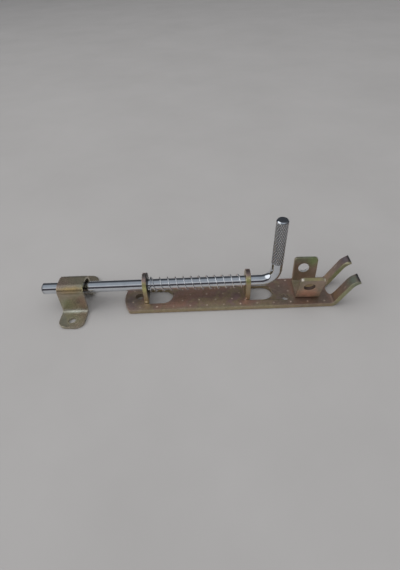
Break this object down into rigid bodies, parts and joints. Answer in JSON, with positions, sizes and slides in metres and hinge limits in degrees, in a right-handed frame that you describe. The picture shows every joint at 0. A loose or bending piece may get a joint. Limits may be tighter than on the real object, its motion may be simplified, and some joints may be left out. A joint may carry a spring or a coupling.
{
  "type": "spring bolt",
  "caption": "Gate spring bolt: a bent rod with a knurled handle slides through ears on a plate against a coil spring, with a padlock bracket, a forked end and a hat-shaped keeper.",
  "frame": {"origin": "on the back of the plate, under the bolt's axis and 44.5 mm before the middle of the rear ear", "axes": "+X along the bolt towards the handle and the fork, +Y across the plate, +Z away from the gate"},
  "size_m": [0.2766, 0.0674, 0.0814],
  "materials": {
    "yellow_zinc": "yellow chromated zinc, worn to olive and brown",
    "bracket_zinc": "yellow chromated zinc with green and copper tints",
    "keeper_zinc": "yellow chromated zinc with a gold sheen",
    "bright_zinc": "bright blue-white zinc, polished",
    "pin_steel": "bright zinc",
    "washer_steel": "bright zinc",
    "spring_steel": "bright zinc-plated spring wire"
  },
  "bodies": {
    "frame": {"back_plate": "yellow_zinc", "padlock_bracket": "bracket_zinc", "keeper": "keeper_zinc", "spring": "spring_steel"},
    "slider": {"spring_washer": "washer_steel"},
    "bolt": {"bolt_rod": "bright_zinc", "stop_pin": "pin_steel"}
  },
  "joints": [
    {"name": "bolt_slide", "type": "slide", "parent": "frame", "child": "slider", "axis": [1, 0, 0], "range_m": [0, 0.0695], "stiffness_N_per_m": 260, "springref_m": -0.01, "deforming": ["spring"]},
    {"name": "handle_turn", "type": "hinge", "parent": "slider", "child": "bolt", "pos_m": [0, 0, 0.0187], "axis": [1, 0, 0], "range_deg": [-100, 100]}
  ]
}
